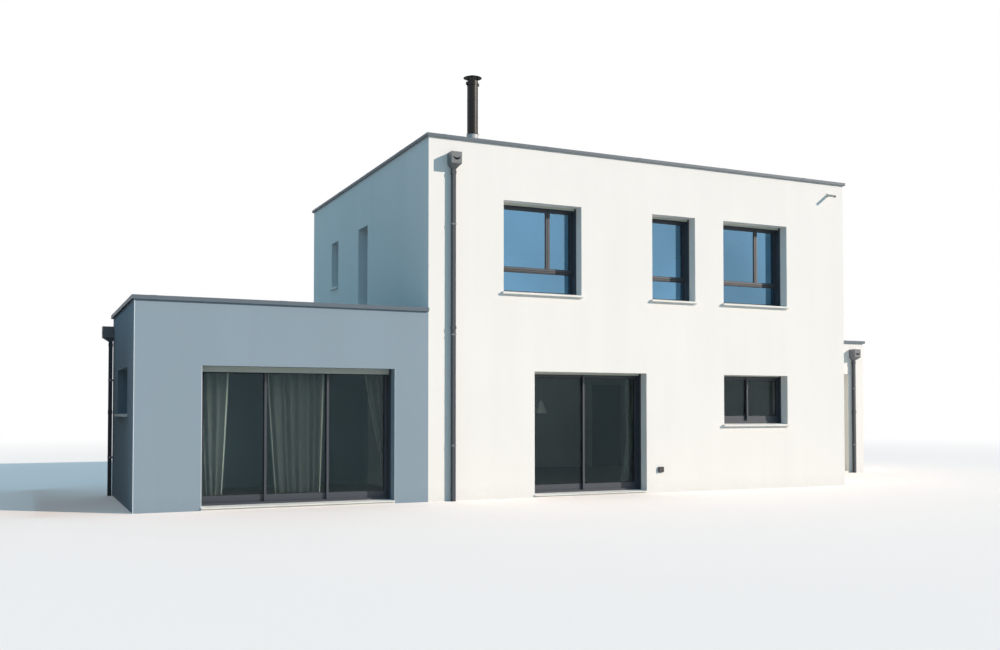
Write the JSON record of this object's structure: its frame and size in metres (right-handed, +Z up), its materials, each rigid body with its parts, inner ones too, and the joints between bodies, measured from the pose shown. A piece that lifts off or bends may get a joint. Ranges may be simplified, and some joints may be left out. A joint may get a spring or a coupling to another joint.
{
  "type": "detached house",
  "caption": "Modern flat-roofed house: white two-storey block with parapets and dark window frames, a low blue-grey wing with a glazed sliding door, and a low garage set back on the other side",
  "frame": {"origin": "centre of the two-storey block's footprint, at ground level", "axes": "+X to the right along the front, +Y into the house, +Z up"},
  "size_m": [18.268, 9.007, 7.99],
  "materials": {
    "white_render": "fine scraped render",
    "blue_render": "fine scraped render",
    "concrete": "trowelled",
    "roof_membrane": "mineral felt",
    "white_concrete": "smooth cast",
    "coping_aluminium": "satin",
    "anthracite_aluminium": "fine matt",
    "glass": "clear, double glazed",
    "garage_door_steel": "satin",
    "rainwater_metal": "satin",
    "flue_steel": "matt",
    "lead_grey": "matt",
    "spout_plastic": "matt",
    "socket_plastic": "matt",
    "white_enamel": "satin",
    "shutter_aluminium": "satin",
    "curtain_cloth": "woven"
  },
  "bodies": {
    "house": {"curtain_rails": "white_enamel", "door_thresholds": "white_concrete", "downpipes": "rainwater_metal", "entrance_door": "anthracite_aluminium", "flue_cap": "flue_steel", "flue_clamp": "flue_steel", "flue_collar": "lead_grey", "flue_pipe": "flue_steel", "front_window_frames": "anthracite_aluminium", "garage_door": "garage_door_steel", "garage_front_wall": "white_render", "garage_rear_wall": "white_render", "garage_return_wall": "white_render", "garage_right_wall": "white_render", "ground_slabs": "concrete", "ground_window_glass": "glass", "hopper_heads": "rainwater_metal", "low_copings_front_rear": "coping_aluminium", "low_copings_sides": "coping_aluminium", "low_roofs": "roof_membrane", "main_copings_front_rear": "coping_aluminium", "main_copings_sides": "coping_aluminium", "main_curtain": "curtain_cloth", "main_door_frame": "anthracite_aluminium", "main_front_wall_left": "white_render", "main_front_wall_right": "white_render", "main_front_wall_upper": "white_render", "main_left_wall": "white_render", "main_rear_wall": "white_render", "main_right_wall": "white_render", "main_roof": "roof_membrane", "outdoor_socket": "socket_plastic", "overflow_spout": "spout_plastic", "pendant_lamp": "white_enamel", "pipe_brackets": "rainwater_metal", "rear_window_frames": "anthracite_aluminium", "shutter_end_bars": "shutter_aluminium", "shutter_guides": "anthracite_aluminium", "side_window_frames": "anthracite_aluminium", "upper_floor": "concrete", "window_glass": "glass", "window_sills": "white_concrete", "wing_curtains": "curtain_cloth", "wing_door_frame": "anthracite_aluminium", "wing_front_wall_left": "blue_render", "wing_front_wall_over": "blue_render", "wing_front_wall_right": "blue_render", "wing_left_wall": "blue_render", "wing_rear_wall": "blue_render"},
    "main_left_leaf": {"main_door_left_leaf": "anthracite_aluminium", "main_door_left_glass": "glass"},
    "main_right_leaf": {"main_door_right_leaf": "anthracite_aluminium", "main_door_right_glass": "glass"},
    "wing_left_leaf": {"wing_door_left_leaf": "anthracite_aluminium", "wing_door_left_glass": "glass"},
    "wing_middle_leaf": {"wing_door_middle_leaf": "anthracite_aluminium", "wing_door_middle_glass": "glass"},
    "wing_right_leaf": {"wing_door_right_leaf": "anthracite_aluminium", "wing_door_right_glass": "glass"}
  },
  "joints": [
    {"name": "main_left_slide", "type": "slide", "parent": "house", "child": "main_left_leaf", "axis": [1, 0, 0], "range_m": [0, 1.15]},
    {"name": "main_right_slide", "type": "slide", "parent": "house", "child": "main_right_leaf", "axis": [1, 0, 0], "range_m": [-1.15, 0]},
    {"name": "wing_left_slide", "type": "slide", "parent": "house", "child": "wing_left_leaf", "axis": [1, 0, 0], "range_m": [0, 2.06]},
    {"name": "wing_middle_slide", "type": "slide", "parent": "house", "child": "wing_middle_leaf", "axis": [1, 0, 0], "range_m": [-1.03, 1.03]},
    {"name": "wing_right_slide", "type": "slide", "parent": "house", "child": "wing_right_leaf", "axis": [1, 0, 0], "range_m": [-2.06, 0]}
  ]
}
